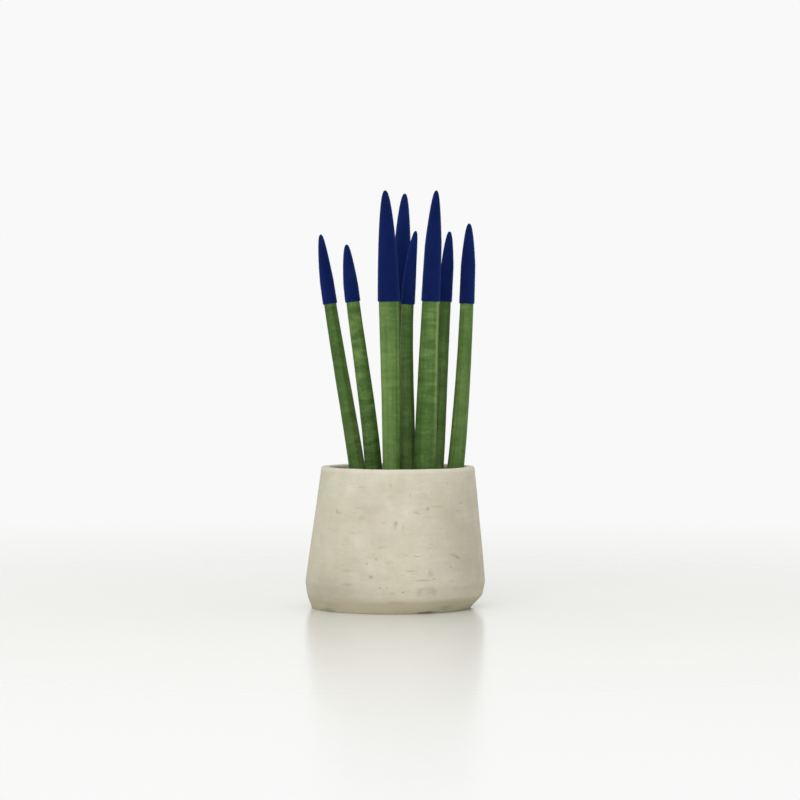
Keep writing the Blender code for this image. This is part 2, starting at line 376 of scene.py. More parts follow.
# Broad patches of the cement and painted light: angle, height, size and strength (below 0 it is paler).
# The darker ones at 48 and 64 degrees are painted shade on the side turned from the light, those at 62
# and 88 degrees painted light low on the right and at its edge; the rest are darker patches in the cement
POT_SHADES = [
    (-38.0, 0.0240, 0.0320, 0.22),
    (-46.0, 0.0040, 0.0300, 0.17),
    (-18.0, 0.1020, 0.0300, 0.12),
    (48.0, 0.0480, 0.0520, 0.20),
    (64.0, 0.0240, 0.0380, 0.14),
    (62.0, 0.0040, 0.0220, -0.22),
    (88.0, 0.0560, 0.0420, -0.18),
    (170.0, 0.0500, 0.0350, 0.15),
]


def wall_point(angle, height):
    """A point on the outside of the wall, from its angle round the pot and its height."""
    bends = [(0.0, BASE_RADIUS), (CHAMFER_HEIGHT, CHAMFER_RADIUS)]
    bends += [(BELLY_HEIGHT, BELLY_RADIUS), (POT_HEIGHT, RIM_RADIUS)]
    for (low, radius_below), (high, radius_above) in zip(bends, bends[1:]):
        if height >= low:
            part = (height - low) / (high - low)
            radius = radius_below + (radius_above - radius_below) * part
    turn = math.radians(angle - 90)
    return (radius * math.cos(turn) + pot_shift(height), radius * math.sin(turn), height)


# The cement's colours: its ground, its stains, the colour its darker patches and painted shade go towards,
# what is mixed in it, its paler rim and its marks
CEMENT_DULL = tint(171, 165, 145)
CEMENT_PALE = tint(206, 200, 184)
CEMENT_GREENISH = tint(184, 180, 153)
CEMENT_PINKISH = tint(193, 181, 163)
CEMENT_SHADED = tint(120, 114, 96)
SAND_COLOUR = tint(212, 207, 192)
FLECK_COLOUR = tint(216, 212, 199)
DASH_COLOUR = tint(138, 133, 113)
BASE_BAND_COLOUR = tint(176, 168, 140)
WORN_RIM_COLOUR = tint(217, 213, 199)
PIT_COLOUR = tint(122, 117, 98)
DARK_MARK_COLOUR = tint(104, 99, 80)
PALE_MARK_COLOUR = tint(217, 213, 197)
# The heights between which the darker, more olive band at the base and the paler rim fade in
BASE_BAND = (0.0150, 0.0080)
WORN_RIM = (0.1135, 0.1160)


def cement_shade(paint, place, broad):
    """How much darker the broad patches and painted shade make a place; where this is below 0, painted
    light makes it paler.
    """
    shade = 0.0
    for angle, level, size, strength in POT_SHADES:
        reach = paint.vector("DISTANCE", place, wall_point(angle, level), output="Value")
        shade = shade + paint.between(reach / size + (broad - 0.5) * 0.8, 1.3, 0.2) * strength
    return shade


def cement_marks(paint, place, raggedness):
    """How clear the dark marks and the pale ones are at a place."""
    dark = 0.0
    pale = 0.0
    for angle, level, width, tall, strength in POT_MARKS:
        offset = paint.vector("SUBTRACT", place, wall_point(angle, level))
        shaped = paint.stretched(offset, 1 / width, 1 / width, 1 / tall)
        reach = paint.vector("LENGTH", shaped, output="Value") + raggedness
        mark = paint.between(reach, 1.65, 0.15) * abs(strength)
        if strength > 0:
            dark = dark + mark
        else:
            pale = pale + mark
    return dark, pale


def cement_finish():
    material, paint = new_finish("cement")
    place = paint.node("ShaderNodeTexCoord", output="Object")
    height = paint.part_of(place, "Z")
    broad = paint.noise(place, 18, 2, 0.5)
    stain = paint.noise(place, 31, 2, 0.5)
    patches = paint.noise(place, 85, 4, 0.6, 0.4)
    wipes = paint.noise(paint.stretched(place, 55, 55, 330), 1, 3, 0.6)
    lines = paint.noise(paint.stretched(place, 130, 130, 1250), 1, 2, 0.6)
    grain = paint.noise(place, 1500, 3, 0.7)
    dash = paint.between(lines, 0.60, 0.72) * paint.between(paint.noise(place, 34, 2, 0.5), 0.50, 0.62)
    lump = paint.cells(place, 160)
    lump_draw = paint.colour_parts(lump.out("Color"))
    pit = paint.between(lump, 0.15, 0.05) * (lump_draw > 0.90)
    fleck = paint.between(lump, 0.20, 0.08) * (lump_draw.out("Green") > 0.88)
    uneven = patches - 0.5
    dark_mark, pale_mark = cement_marks(paint, place, uneven * 1.2 + (grain - 0.5) * 0.8)
    tone = 0.5 + (broad - 0.5) * 0.8 + uneven * 0.6 + (wipes - 0.5) * 0.3 + (lines - 0.5) * 0.12
    colour = paint.mix(paint.between(tone, 0.0, 1.0), CEMENT_DULL, CEMENT_PALE)
    for share, layer_colour in (
        (paint.between(stain, 0.42, 0.60) * 0.35, CEMENT_GREENISH),
        (paint.between(stain, 0.46, 0.32) * 0.35, CEMENT_PINKISH),
        # Broad darker patches of the cement, with painted shade and painted light on its right side
        (cement_shade(paint, place, broad), CEMENT_SHADED),
        (paint.between(grain, 0.35, 0.75) * 0.20, SAND_COLOUR),
        (fleck * 0.30, FLECK_COLOUR),
        (dash * 0.35, DASH_COLOUR),
        (paint.between(height + uneven * 0.004, *BASE_BAND) * 0.6, BASE_BAND_COLOUR),
        (paint.between(height, *WORN_RIM) * 0.25, WORN_RIM_COLOUR),
        (pit * 0.5, PIT_COLOUR),
        (dark_mark.math("MINIMUM", 1.7) * 0.52, DARK_MARK_COLOUR),
        (pale_mark * 0.70, PALE_MARK_COLOUR),
    ):
        colour = paint.mix(share, colour, layer_colour)
    relief = patches * 0.22 + wipes * 0.10 + lines * 0.08 + grain * 0.18
    relief = relief - dash * 0.2 - pit * 0.7 - dark_mark * 0.4
    values = {"Base Color": colour, "Roughness": 0.84 + uneven * 0.2 + pit * 0.1}
    values["Normal"] = paint.bump(relief, 0.0005, 0.7)
    values["Specular IOR Level"] = 0.2
    paint.surface(values)
    return material


pot = placed("cement_pot", turned("cement_pot", finely(pot_profile(), POT_ROW), POT_SIDES, cast_wall))
pot.data.materials.append(cement_finish())
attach(pot, "root")
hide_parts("pot")


# The soil: dark potting mix of peat crumbs with bits of bark and white grains of perlite, filled in loose
# to a finger's width below the rim. The leaves' feet are pushed into it.
SOIL_LEVEL = 0.1025
BUMP_HEIGHT = 0.0011
BUMP_WAVES = 150.0
# The fine lumps of the surface: how high they are, how fast they change with each metre, where they start
SOIL_LUMPS = [(0.0006, 420, 0.0), (0.0004, 1100, 0.1)]
SOIL_EDGE_POWER = 6
SOIL_GAP = 0.0003
SOIL_SIDES = 160
SOIL_ROW = 0.0012

soil_edge = inner_radius(SOIL_LEVEL) - SOIL_GAP


def soil_surface(x, y):
    """How far the loose surface of the soil lies above its mean level."""
    long_wave = math.sin(BUMP_WAVES * x + 0.6) * math.cos(0.8 * BUMP_WAVES * y)
    short_wave = math.sin(1.7 * BUMP_WAVES * (x + y)) * math.cos(1.4 * BUMP_WAVES * (x - y) + 1.1)
    return BUMP_HEIGHT * (long_wave + 0.5 * short_wave)


def loose_soil(radius, angle, height):
    """Where a point of the soil's even form lies: its top is bumpy, and level only at the wall."""
    x = radius * math.cos(angle) + pot_shift(height)
    y = radius * math.sin(angle)
    if height < SOIL_LEVEL - SOIL_GAP:
        return (x, y, height)
    off_edge = 1 - (radius / soil_edge) ** SOIL_EDGE_POWER
    rise = soil_surface(x, y)
    for most, fineness, start in SOIL_LUMPS:
        rise += most * noise.noise(Vector((x, y, start)) * fineness)
    return (x, y, height + off_edge * rise)


def earth_finish():
    material, paint = new_finish("potting soil")
    place = paint.node("ShaderNodeTexCoord", output="Object")
    bit = paint.kept("bit")
    clods = paint.noise(place, 260, 4, 0.65)
    specks = paint.noise(place, 1400, 3, 0.7)
    speckled = paint.between(specks, 0.3, 0.7)
    peat = paint.mix(paint.between(clods, 0.3, 0.7), tint(38, 29, 22), tint(72, 56, 42))
    bark = paint.mix(speckled, tint(84, 60, 40), tint(126, 94, 66))
    perlite = paint.mix(speckled, tint(196, 190, 178), tint(228, 224, 214))
    colour = paint.mix(paint.between(bit, 0.55, 0.6), peat, bark)
    colour = paint.mix(paint.between(bit, 0.9, 0.92), colour, perlite)
    colour = paint.mix(paint.between(specks, 0.62, 0.7) * 0.4, colour, tint(104, 84, 64))
    values = {"Base Color": colour, "Roughness": 0.9 + (clods - 0.5) * 0.15, "Specular IOR Level": 0.2}
    values["Normal"] = paint.bump(clods * 0.6 + specks * 0.4, 0.0008, 0.9)
    paint.surface(values)
    return material


soil_foot = CHAMFER_HEIGHT + WALL
soil_profile = [(0.0, FLOOR + SOIL_GAP), (FLOOR_RADIUS - SOIL_GAP, FLOOR + SOIL_GAP)]
soil_profile += [(inner_radius(soil_foot) - SOIL_GAP, soil_foot + SOIL_GAP), (soil_edge, SOIL_LEVEL)]
soil_rows = math.ceil(soil_edge / SOIL_ROW)
soil_profile += [(soil_edge * (1 - row / soil_rows), SOIL_LEVEL) for row in range(1, soil_rows + 1)]
soil = placed("soil_bed", turned("soil_bed", soil_profile, SOIL_SIDES, loose_soil))
earth = earth_finish()
soil.data.materials.append(earth)
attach(soil, "root")
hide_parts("soil")


# The leaves: eight stiff round leaves of a cylindrical snake plant, each set in the soil as a cutting.
# They are fleshy and dark green with paler cross bands, a few lengthwise furrows and a blunt tapering tip.
FOOT_HEIGHT = 0.0750
RIM_LEVEL = 0.1170
FURROWS = 5
FURROW_DEPTH = 0.05
FURROW_HALF_ANGLE = math.radians(11)
TIP_FULLNESS = 1.2
TIP_POWER = 0.5
LEAF_RINGS = 150
LEAF_SIDES = 60
WELD = 0.000002
# How far the skin swells, how fast that changes across and along, and the radius its pattern is made at
SKIN_SWELL = 0.00044
SWELL_WAVES = (70.0, 70.0, 45.0)
PATTERN_RADIUS = 0.007
# Where the painted highlight on a leaf's right side starts and ends, as the cosine of the angle round it
PALE_LINE_START = (0.70, 0.80)
PALE_LINE_END = (0.99, 0.90)


class Leaf(NamedTuple):
    """One leaf: the x and y of its foot and the x, y and z of its tip, its lean in x at both ends, its
    width at the pot's rim and at the coat's edge, the length of its tapering tip, the coat edge's height,
    how far its furrows are turned, how light its green is below the coat and at the rim, from 0 to 1,
    which is partly its own tone and partly painted light and shade, how much lighter it is on its right
    than in its middle, which is painted light and shade for the side turned to the light or away from it,
    how strong its cross bands are, how clear a painted highlight it has along its right side, and how much
    its coat's colour is scaled as painted light, lighter where the leaves beside it shade it and darker
    where it stands most in the light."""
    foot: tuple
    tip: tuple
    foot_lean: float
    tip_lean: float
    rim_width: float
    coat_width: float
    taper: float
    coat_edge: float
    turn: float
    light_above: float
    light_below: float
    light_right: float
    banding: float
    pale_line: float
    coat_light: float


LEAVES = [
    Leaf((-0.0259, 0.007), (-0.0623, 0.014, 0.3104), -0.130, -0.116, 0.0135, 0.0104, 0.040, 0.2533, 0.2,
         0.42, 0.60, 0.20, 0.8, 0.0, 1.12),
    Leaf((-0.0165, -0.009), (-0.0402, -0.014, 0.3014), 0.000, -0.085, 0.0143, 0.0110, 0.034, 0.2549, 0.9,
         0.75, 0.20, 0.03, 1.4, 0.0, 1.05),
    Leaf((-0.0027, -0.020), (-0.0082, -0.026, 0.3457), 0.000, -0.039, 0.0149, 0.0170, 0.094, 0.2551, 0.5,
         0.72, 0.74, -0.16, 0.5, 0.35, 0.93),
    Leaf((0.0049, 0.016), (0.0080, 0.026, 0.3451), 0.015, 0.055, 0.0134, 0.0124, 0.045, 0.2551, 0.0,
         0.40, 0.40, 0.00, 0.8, 0.0, 1.18),
    Leaf((0.0099, -0.003), (0.0170, -0.006, 0.3129), 0.042, 0.174, 0.0133, 0.0100, 0.045, 0.2529, 1.1,
         0.68, 0.66, -0.36, 0.8, 0.0, 1.34),
    Leaf((0.0230, -0.017), (0.0340, -0.023, 0.3458), 0.036, 0.063, 0.0192, 0.0140, 0.046, 0.2552, 0.3,
         0.76, 0.36, 0.15, 1.0, 0.9, 0.95),
    Leaf((0.0311, 0.005), (0.0455, 0.014, 0.3129), 0.080, 0.076, 0.0130, 0.0098, 0.030, 0.2550, 0.7,
         0.52, 0.90, -0.22, 0.7, 0.0, 1.34),
    Leaf((0.0456, 0.001), (0.0617, 0.004, 0.3193), 0.130, 0.024, 0.0140, 0.0111, 0.035, 0.2533, 0.4,
         0.70, 0.74, -0.12, 0.5, 0.0, 1.03),
]


def new_shape_tree(name):
    """A tree of Geometry Nodes with its way in and out."""
    nodes = bpy.data.node_groups.new(name, "GeometryNodeTree")
    nodes.interface.new_socket(name="Geometry", in_out="OUTPUT", socket_type="NodeSocketGeometry")
    nodes.nodes.new("NodeGroupInput").name = "in"
    return Tree(nodes)


def named_input(shape, name, kind):
    """A named size of the tree, which each modifier sets for its own piece."""
    shape.nodes.interface.new_socket(name=name, in_out="INPUT", socket_type="NodeSocket" + kind)
    return Wire(shape, shape.nodes.nodes["in"].outputs[name])


def close_tree(shape, geometry, material):
    """Ends a tree: real faces in place of instances, and their material."""
    real = shape.node("GeometryNodeRealizeInstances", {}, {"Geometry": geometry})
    finished = shape.node("GeometryNodeSetMaterial", {}, {"Geometry": real, "Material": material})
    shape.node("NodeGroupOutput", {}, {"Geometry": finished})


def grown_mesh(name, shape, sizes, start=None):
    """What a tree makes from its named sizes, and from a mesh to start on where it needs one."""
    guide = placed(name, start or bpy.data.meshes.new(name))
    grow = guide.modifiers.new("Grow", "NODES")
    grow.node_group = shape.nodes
    for socket in shape.nodes.interface.items_tree:
        if socket.in_out == "INPUT" and socket.name in sizes:
            grow[socket.identifier] = sizes[socket.name]
    seen = bpy.context.evaluated_depsgraph_get()
    grown = guide.evaluated_get(seen)
    mesh = bpy.data.meshes.new_from_object(grown, preserve_all_data_layers=True, depsgraph=seen)
    mesh.name = name
    bpy.data.objects.remove(guide, do_unlink=True)
    return mesh


# What the trees of a leaf and of its coat ask for: the leaf's own sizes, and a number for its pattern
LEAF_SIZES = {field.replace("_", " ").capitalize(): "Float" for field in Leaf._fields}
LEAF_SIZES.update({"Foot": "Vector", "Tip": "Vector", "Pattern": "Float"})


def leaf_sizes(leaf, number):
    """One leaf's sizes by the names of a tree's inputs."""
    foot = (*leaf.foot, FOOT_HEIGHT)
    return dict(zip(LEAF_SIZES, (foot, *leaf[1:], float(number))))


def leaf_middle(shape, leaf, part):
    """The middle of a leaf at a part of its height: its x, y and z, and the ways up, right and back."""
    foot = shape.part_of(leaf["Foot"], "X")
    tip = shape.part_of(leaf["Tip"], "X")
    rise = tip.out("Z") - foot.out("Z")
    square = part * part
    cube = square * part
    share = 2 * cube - 3 * square + 1
    bend = (cube - 2 * square + part) * leaf["Foot lean"] + (cube - square) * leaf["Tip lean"]
    x = share * foot + (1 - share) * tip + bend * rise
    y = foot.out("Y") + part * (tip.out("Y") - foot.out("Y"))
    height = foot.out("Z") + part * rise
    foot_turning = (3 * square - 4 * part + 1) * leaf["Foot lean"]
    tip_turning = (3 * square - 2 * part) * leaf["Tip lean"]
    slope = 6 * (square - part) * (foot - tip) + (foot_turning + tip_turning) * rise
    up = shape.vector("NORMALIZE", shape.point(slope, tip.out("Y") - foot.out("Y"), rise))
    right = shape.vector("NORMALIZE", shape.vector("CROSS_PRODUCT", (0.0, 1.0, 0.0), up))
    back = shape.vector("CROSS_PRODUCT", up, right)
    return x, y, height, up, right, back


def on_leaf(shape, leaf, part, angle, furrow, proud, lift, opened=1.0):
    """The place on a leaf at a part of its height and an angle round it. proud is a distance straight out
    of the skin, lift one along the leaf, and opened 0 closes its end."""
    x, y, height, up, right, back = leaf_middle(shape, leaf, part)
    thinning = (leaf["Coat width"] - leaf["Rim width"]) / (leaf["Coat edge"] - RIM_LEVEL) / 2
    plain = leaf["Rim width"] / 2 + (height - RIM_LEVEL) * thinning
    below_tip = shape.part_of(leaf["Tip"], "Z") - height
    before_tip = (1 - below_tip / leaf["Taper"]).math("MAXIMUM", 0.0)
    closing = (1 - before_tip ** TIP_FULLNESS).math("MAXIMUM", 0.0)
    narrowing = closing ** TIP_POWER
    out_up = plain * (TIP_POWER * TIP_FULLNESS) * before_tip ** (TIP_FULLNESS - 1) / leaf["Taper"]
    out_up = out_up - closing * thinning
    out_length = (closing + out_up * out_up) ** 0.5
    reach = (plain * narrowing * (1 - furrow) + proud * narrowing / out_length) * opened
    climb = proud * out_up / out_length + lift
    place = shape.vector("ADD", shape.point(x, y, height), shape.scaled(up, climb))
    place = shape.vector("ADD", place, shape.scaled(right, reach * angle.math("COSINE")))
    return shape.vector("ADD", place, shape.scaled(back, reach * angle.math("SINE")))


def furrow_at(shape, leaf, angle):
    """How deep in a furrow an angle round the leaf is, from 0 to 1."""
    step = 2 * math.pi / FURROWS
    passed = (angle - leaf["Turn"]) / step + 0.5
    aside = (passed.math("FRACT") - 0.5) * step
    return shape.between(aside.math("ABSOLUTE"), FURROW_HALF_ANGLE, 0.0)


def unrolled(shape, leaf, angle, along):
    """A place for the skin's pattern: upright as if the leaf were straight, and different by leaf."""
    right = angle.math("COSINE") * PATTERN_RADIUS + leaf["Pattern"]
    return shape.point(right, angle.math("SINE") * PATTERN_RADIUS, along)


def remember(shape, geometry, name, value, kind="FLOAT"):
    """Keeps a value on every point for the material to read."""
    values = {"Geometry": geometry, "Name": name, "Value": value}
    return shape.node("GeometryNodeStoreNamedAttribute", {"data_type": kind}, values)


def sheet_of_points(shape, sides, rings):
    """A flat grid to roll up, and at each point its angle round the leaf and its share of the way up."""
    counts = {"Size X": 1.0, "Size Y": 1.0, "Vertices X": sides + 1, "Vertices Y": rings + 1}
    grid = shape.node("GeometryNodeMeshGrid", {}, counts)
    spot = shape.part_of(shape.node("GeometryNodeInputPosition"), "X")
    return grid, (spot + 0.5) * (2 * math.pi), (spot.out("Y") + 0.5).math("MINIMUM", 1.0)


def rolled_up(shape, sheet, place):
    """The sheet with its points in their places, its seams welded."""
    rolled = shape.node("GeometryNodeSetPosition", {}, {"Geometry": sheet, "Position": place})
    rolled = shape.node("GeometryNodeMergeByDistance", {}, {"Geometry": rolled, "Distance": WELD})
    return shape.node("GeometryNodeSetShadeSmooth", {}, {"Geometry": rolled})


def leaf_tree():
    """One whole leaf: rings of points up its curved middle, closed at its foot and at its tip."""
    shape = new_shape_tree("snake plant leaf")
    leaf = {name: named_input(shape, name, kind) for name, kind in LEAF_SIZES.items()}
    material = named_input(shape, "Material", "Material")
    sheet, angle, share = sheet_of_points(shape, LEAF_SIDES, LEAF_RINGS)
    part = (share * (math.pi / 2)).math("SINE")
    along = part * (shape.part_of(leaf["Tip"], "Z") - shape.part_of(leaf["Foot"], "Z"))
    furrow = furrow_at(shape, leaf, angle)
    pattern = unrolled(shape, leaf, angle, along)
    swell = shape.noise(shape.stretched(pattern, *SWELL_WAVES), 1.0, 2.0) - 0.5
    # The green's lightness: partly each leaf's own tone, partly painted light and shade for leaves in the
    # shade of others, near the rim and on each side, and a painted highlight along the right edge above the
    # rim
    above_rim = (along + FOOT_HEIGHT - RIM_LEVEL) / (leaf["Coat edge"] - RIM_LEVEL)
    above_rim = above_rim.math("MAXIMUM", 0.0).math("MINIMUM", 1.0)
    lightness = leaf["Light below"] + (leaf["Light above"] - leaf["Light below"]) * above_rim
    rightness = angle.math("COSINE")
    # A painted highlight: a pale line along the right edge, shown above the rim only
    line = shape.between(rightness, *PALE_LINE_START) * shape.between(rightness, *PALE_LINE_END)
    lightness = lightness + leaf["Light right"] * rightness + leaf["Pale line"] * (line * above_rim)
    sheet = remember(shape, sheet, "unrolled", pattern, "FLOAT_VECTOR")
    sheet = remember(shape, sheet, "furrow", furrow)
    sheet = remember(shape, sheet, "lightness", lightness)
    sheet = remember(shape, sheet, "banding", leaf["Banding"])
    opened = share > 0.5 / LEAF_RINGS
    place = on_leaf(shape, leaf, part, angle, furrow * FURROW_DEPTH, swell * SKIN_SWELL, 0.0, opened)
    close_tree(shape, rolled_up(shape, sheet, place), material)
    return shape


# The skin's colours, from the darkest green to the palest, and its flecks
SKIN_DARK = tint(28, 54, 13)
SKIN_GREEN = tint(65, 94, 38)
SKIN_PALE = tint(110, 136, 74)
SKIN_FLECK = tint(128, 146, 98)


def leaf_finish():
    material, paint = new_finish("leaf skin")
    place = paint.kept("unrolled", "Vector")
    furrow = paint.kept("furrow")
    bands = paint.noise(paint.stretched(place, 50, 50, 165), 1, 1.6, 0.5, 1.0)
    clouds = paint.noise(paint.stretched(place, 110, 110, 32), 1, 3, 0.55, 0.3)
    fibres = paint.noise(paint.stretched(place, 1300, 1300, 28), 1, 2, 0.6)
    flecks = paint.cells(paint.stretched(place, 520, 520, 300), 1)
    fleck = paint.between(flecks, 0.42, 0.2) * (paint.colour_parts(flecks.out("Color")) > 0.72)
    pores = paint.noise(place, 3200, 2, 0.6)
    green = paint.kept("lightness") + (bands - 0.5) * paint.kept("banding")
    green = green + (clouds - 0.5) * 0.6 + (fibres - 0.5) * 0.35 - furrow * 0.06
    colour = paint.mix(paint.between(green, -0.25, 0.55), SKIN_DARK, SKIN_GREEN)
    colour = paint.mix(paint.between(green, 0.4, 1.25), colour, SKIN_PALE)
    colour = paint.mix(fleck * 0.20, colour, SKIN_FLECK)
    relief = fibres * 0.4 + pores * 0.2 + bands * 0.15 - fleck * 0.2
    values = {"Base Color": colour, "Roughness": 0.55 + (bands - 0.5) * 0.16 + fleck * 0.08}
    values["Normal"] = paint.bump(relief, 0.0003, 0.6)
    values["Specular IOR Level"] = 0.18
    paint.surface(values)
    return material


grow_leaf = leaf_tree()
leaf_skin = leaf_finish()
for number, leaf in enumerate(LEAVES, start=1):
    name = f"green_leaf_{number}"
    sizes = {**leaf_sizes(leaf, number), "Material": leaf_skin}
    green_leaf = placed(name, grown_mesh(name, grow_leaf, sizes))
    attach(green_leaf, "root")
    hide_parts(f"leaf_{number}")


# The crumbs: the loose top of the potting soil between the leaves, of peat, chips of bark and grains of
# perlite. They lie where they fell when the leaves' feet had been firmed in.
CRUMB_SEED = 7
CRUMBS_PER_METRE = 260000.0
LUMPS_PER_METRE = 26000.0
# The most that a crumb is tilted and turned, in radians
CRUMB_TURN = (0.7, 0.7, 6.28)
# How far a crumb's surface is pushed in or out, and how fast that changes with each metre
CRUMB_ROUGHNESS = 0.0012
CRUMB_ROUGHNESS_WAVES = 900.0
SOIL_TOP_DEPTH = 0.004


def remembered(shape, name):
    """For a tree: what remember() or the mesh it starts from has kept on the points under this name."""
    return shape.node("GeometryNodeInputNamedAttribute", {"data_type": "FLOAT"}, {"Name": name})


def drawn(shape, least, most, seed):
    """A number drawn at random for each piece, or three of them where the limits are three."""
    if isinstance(least, tuple):
        limits = {0: least, 1: most, "Seed": seed}
        return shape.node("FunctionNodeRandomValue", {"data_type": "FLOAT_VECTOR"}, limits)
    limits = {2: least, 3: most, "Seed": seed}
    return shape.node("FunctionNodeRandomValue", {"data_type": "FLOAT"}, limits, 1)


def strewn(shape, mesh, density, seed, chosen):
    """Points strewn over the chosen part of a mesh."""
    spots = {"Mesh": mesh, "Density": density, "Seed": seed, "Selection": chosen}
    return shape.node("GeometryNodeDistributePointsOnFaces", {}, spots)


def pieces_on(shape, points, piece, turn, scale):
    """One piece on each point."""
    values = {"Points": points, "Instance": piece, "Rotation": turn, "Scale": scale}
    return shape.node("GeometryNodeInstanceOnPoints", {}, values)


def joined(shape, *geometries):
    both = shape.node("GeometryNodeJoinGeometry")
    for geometry in geometries:
        shape.nodes.links.new(geometry.socket, both.socket.node.inputs[0])
    return both


def crumb_tree():
    """Crumbs, bark and perlite strewn over the open top of the soil, clear of leaves and wall."""
    shape = new_shape_tree("soil crumbs")
    bed = named_input(shape, "Bed", "Geometry")
    crumbs_per_metre = named_input(shape, "Crumbs per square metre", "Float")
    lumps_per_metre = named_input(shape, "Lumps per square metre", "Float")
    seed = named_input(shape, "Seed", "Int")
    material = named_input(shape, "Material", "Material")
    room = remembered(shape, "room")
    kinds = []
    for kind, density, clearance, fineness, size, least, most, last_bit in (
        (1, crumbs_per_metre, 0.0006, 1, (0.0008, 0.0008, 0.0006), 0.5, 1.5, 0.93),
        (2, lumps_per_metre, 0.0020, 2, (0.0018, 0.0013, 0.0009), 0.6, 1.5, 1.0),
    ):
        points = strewn(shape, bed, density, seed + kind, room > clearance)
        crumb = shape.node("GeometryNodeMeshIcoSphere", {}, {"Radius": 1.0, "Subdivisions": fineness})
        turn = drawn(shape, (0.0, 0.0, 0.0), CRUMB_TURN, seed + 10 * kind)
        smallest = tuple(least * part for part in size)
        largest = tuple(most * part for part in size)
        scale = drawn(shape, smallest, largest, seed + 20 * kind)
        bit = drawn(shape, 0.0, last_bit, seed + 30 * kind)
        crumbs = {"Geometry": pieces_on(shape, points, crumb, turn, scale), "Name": "bit", "Value": bit}
        each = {"data_type": "FLOAT", "domain": "INSTANCE"}
        kinds.append(shape.node("GeometryNodeStoreNamedAttribute", each, crumbs))
    real = shape.node("GeometryNodeRealizeInstances", {}, {"Geometry": joined(shape, *kinds)})
    waves = {"Scale": CRUMB_ROUGHNESS_WAVES, "Detail": 1.0}
    waves["Vector"] = shape.node("GeometryNodeInputPosition")
    rough = shape.node("ShaderNodeTexNoise", {}, waves, "Color")
    push = shape.scaled(shape.vector("SUBTRACT", rough, (0.5, 0.5, 0.5)), CRUMB_ROUGHNESS)
    pushed = shape.node("GeometryNodeSetPosition", {}, {"Geometry": real, "Offset": push})
    close_tree(shape, pushed, material)
    return shape


def open_room(x, y):
    """How far a point of the soil's top is from the pot's wall or the nearest leaf."""
    room = soil_edge - math.hypot(x - pot_shift(SOIL_LEVEL), y)
    for leaf in LEAVES:
        above_foot = SOIL_LEVEL - FOOT_HEIGHT
        part = above_foot / (leaf.tip[2] - FOOT_HEIGHT)
        stem_x = leaf.foot[0] + leaf.foot_lean * above_foot * (1 - 2 * part)
        stem_y = leaf.foot[1] + part * (leaf.tip[1] - leaf.foot[1])
        room = min(room, math.hypot(x - stem_x, y - stem_y) - leaf.rim_width / 2)
    return room


bed = soil.data.copy()
room = bed.attributes.new("room", "FLOAT", "POINT")
for spot, vertex in zip(room.data, bed.vertices):
    on_top = vertex.co.z > SOIL_LEVEL - SOIL_TOP_DEPTH
    spot.value = open_room(vertex.co.x, vertex.co.y) if on_top else -1.0
crumb_sizes = {"Crumbs per square metre": CRUMBS_PER_METRE, "Lumps per square metre": LUMPS_PER_METRE}
crumb_sizes.update({"Seed": CRUMB_SEED, "Material": earth})
crumbs = placed("soil_crumbs", grown_mesh("soil_crumbs", crumb_tree(), crumb_sizes, bed))
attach(crumbs, "root")


# The velvet coats: a navy coat over the upper part of each leaf. The tip was dipped in paint and flocked
# with short fibres while wet, so the coat fits like a thimble, ends in a straight edge and has a fine pile.
COAT_GAP = 0.00025
COAT_THICKNESS = 0.00055
COAT_RINGS = 110
COAT_SIDES = 48
# The share of the coat's section that its rounded lip takes
LIP_SHARE = 0.06
# How much of the leaf's furrows shows through the coat
COAT_FURROWS = 0.4
EDGE_UNEVENNESS = 0.00035
EDGE_WAVES = 160.0
FIBRES_PER_METRE = 3400000.0
FIBRE_LENGTH = 0.00042
FIBRE_RADIUS = 0.00005
# The least and most of a fibre's length, as a part of the length above, and of its bend and turn
FIBRE_LENGTHS = (0.6, 1.15)
FIBRE_TURNS = ((-0.45, -0.45, 0.0), (0.45, 0.45, 6.28))
PILE_SEED = 11


